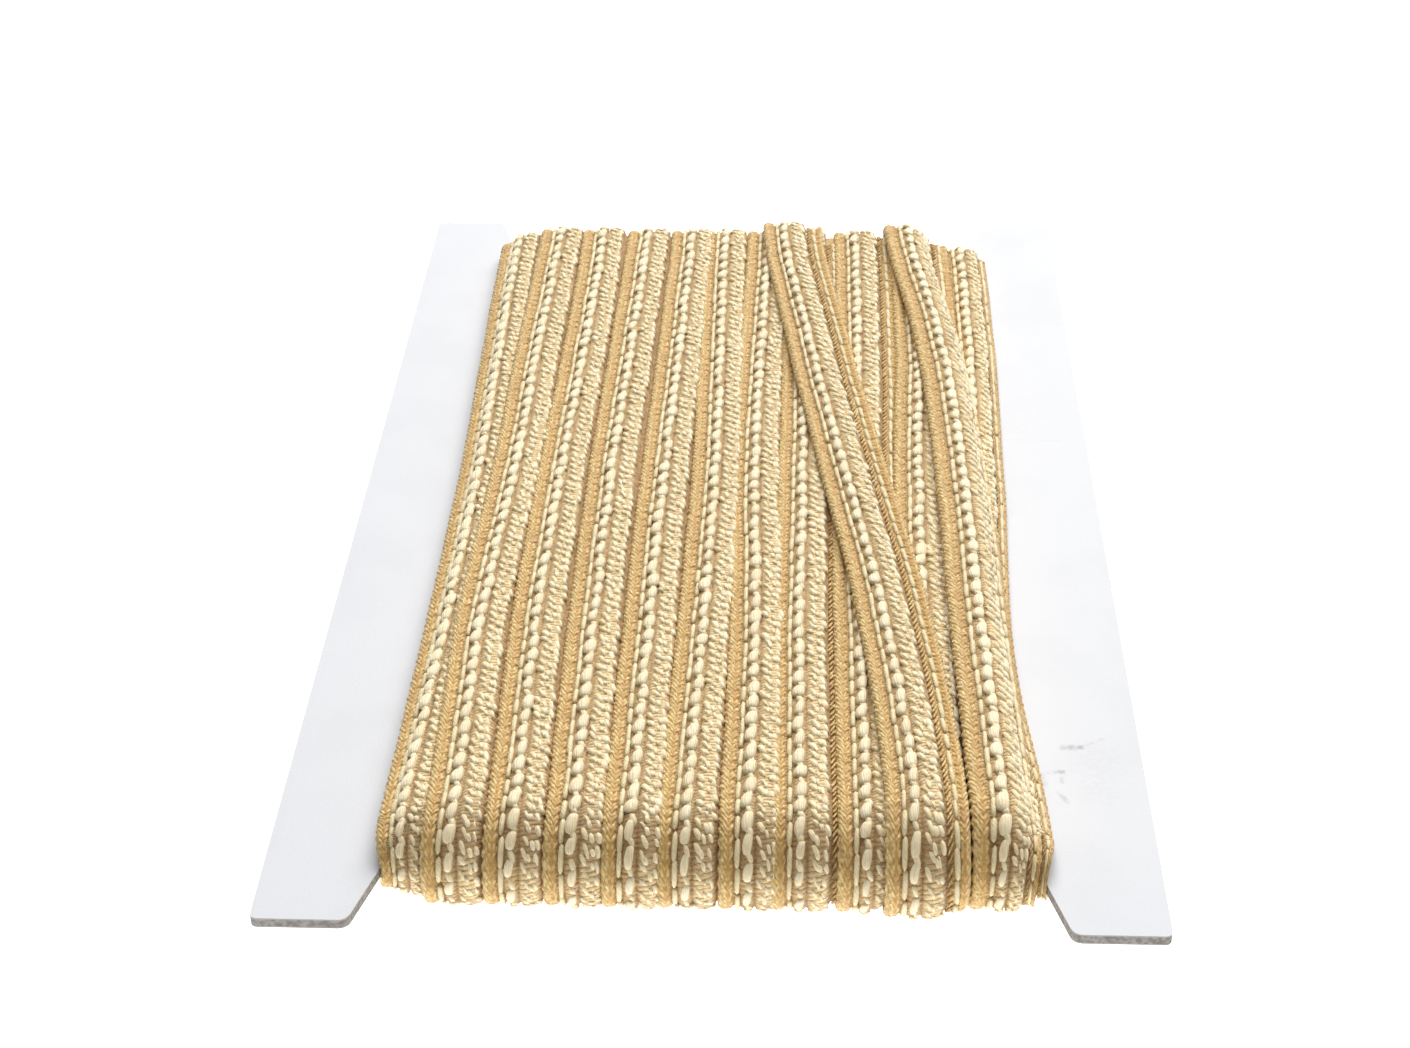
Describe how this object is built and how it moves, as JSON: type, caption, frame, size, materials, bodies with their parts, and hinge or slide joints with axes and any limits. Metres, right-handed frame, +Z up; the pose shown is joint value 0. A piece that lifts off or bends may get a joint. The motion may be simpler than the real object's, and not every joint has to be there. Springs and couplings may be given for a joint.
{
  "type": "gimp braid trim wound on a card",
  "caption": "Flat gimp braid trim with a gold cord edge, a bobble chain and a loop chain, wound lengthwise in overlapping wraps on a notched white board.",
  "frame": {"origin": "middle of the underside, on the surface that the winding lies on", "axes": "+X across the wraps to the right, +Y along the card to its far end, +Z up"},
  "size_m": [0.15, 0.25, 0.0224],
  "materials": {
    "braid_yarn": "matt cream and gold rayon yarns",
    "card_board": "smooth white paper face on grey board"
  },
  "bodies": {
    "root": {"wound_braid": "braid_yarn", "winding_card": "card_board"}
  },
  "joints": []
}
